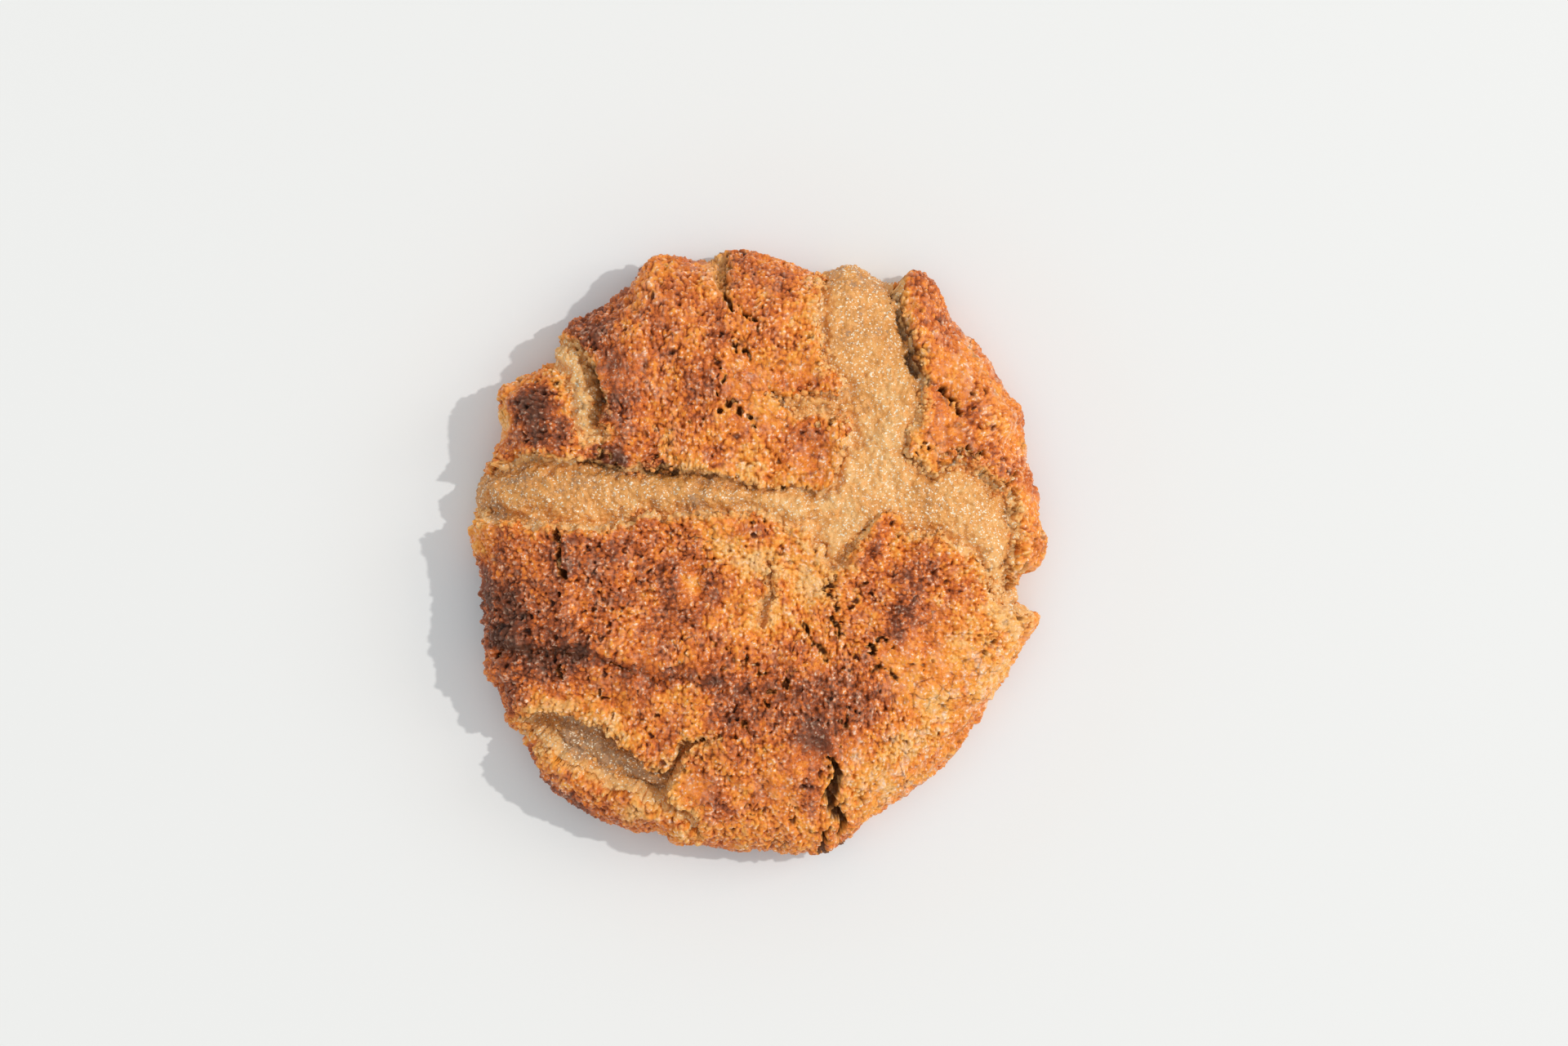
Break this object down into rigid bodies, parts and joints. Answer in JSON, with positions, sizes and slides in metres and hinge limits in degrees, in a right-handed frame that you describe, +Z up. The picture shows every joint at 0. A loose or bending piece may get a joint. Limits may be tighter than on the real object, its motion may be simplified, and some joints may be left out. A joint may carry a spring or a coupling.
{
  "type": "peanut butter cookie",
  "caption": "Thick round cookie with a browned crust split into plates over pale dough, and a flat underside.",
  "frame": {"origin": "middle of the flat underside, on the surface that the cookie lies on", "axes": "+Z up through the crust, +Y towards the edge with the widest split, +X to the right seen from above with +Y away"},
  "size_m": [0.0951, 0.0995, 0.0204],
  "materials": {
    "browned_crust": "baked golden brown crust, rough, with a slight sheen"
  },
  "bodies": {
    "root": {"cookie": "browned_crust"}
  },
  "joints": []
}
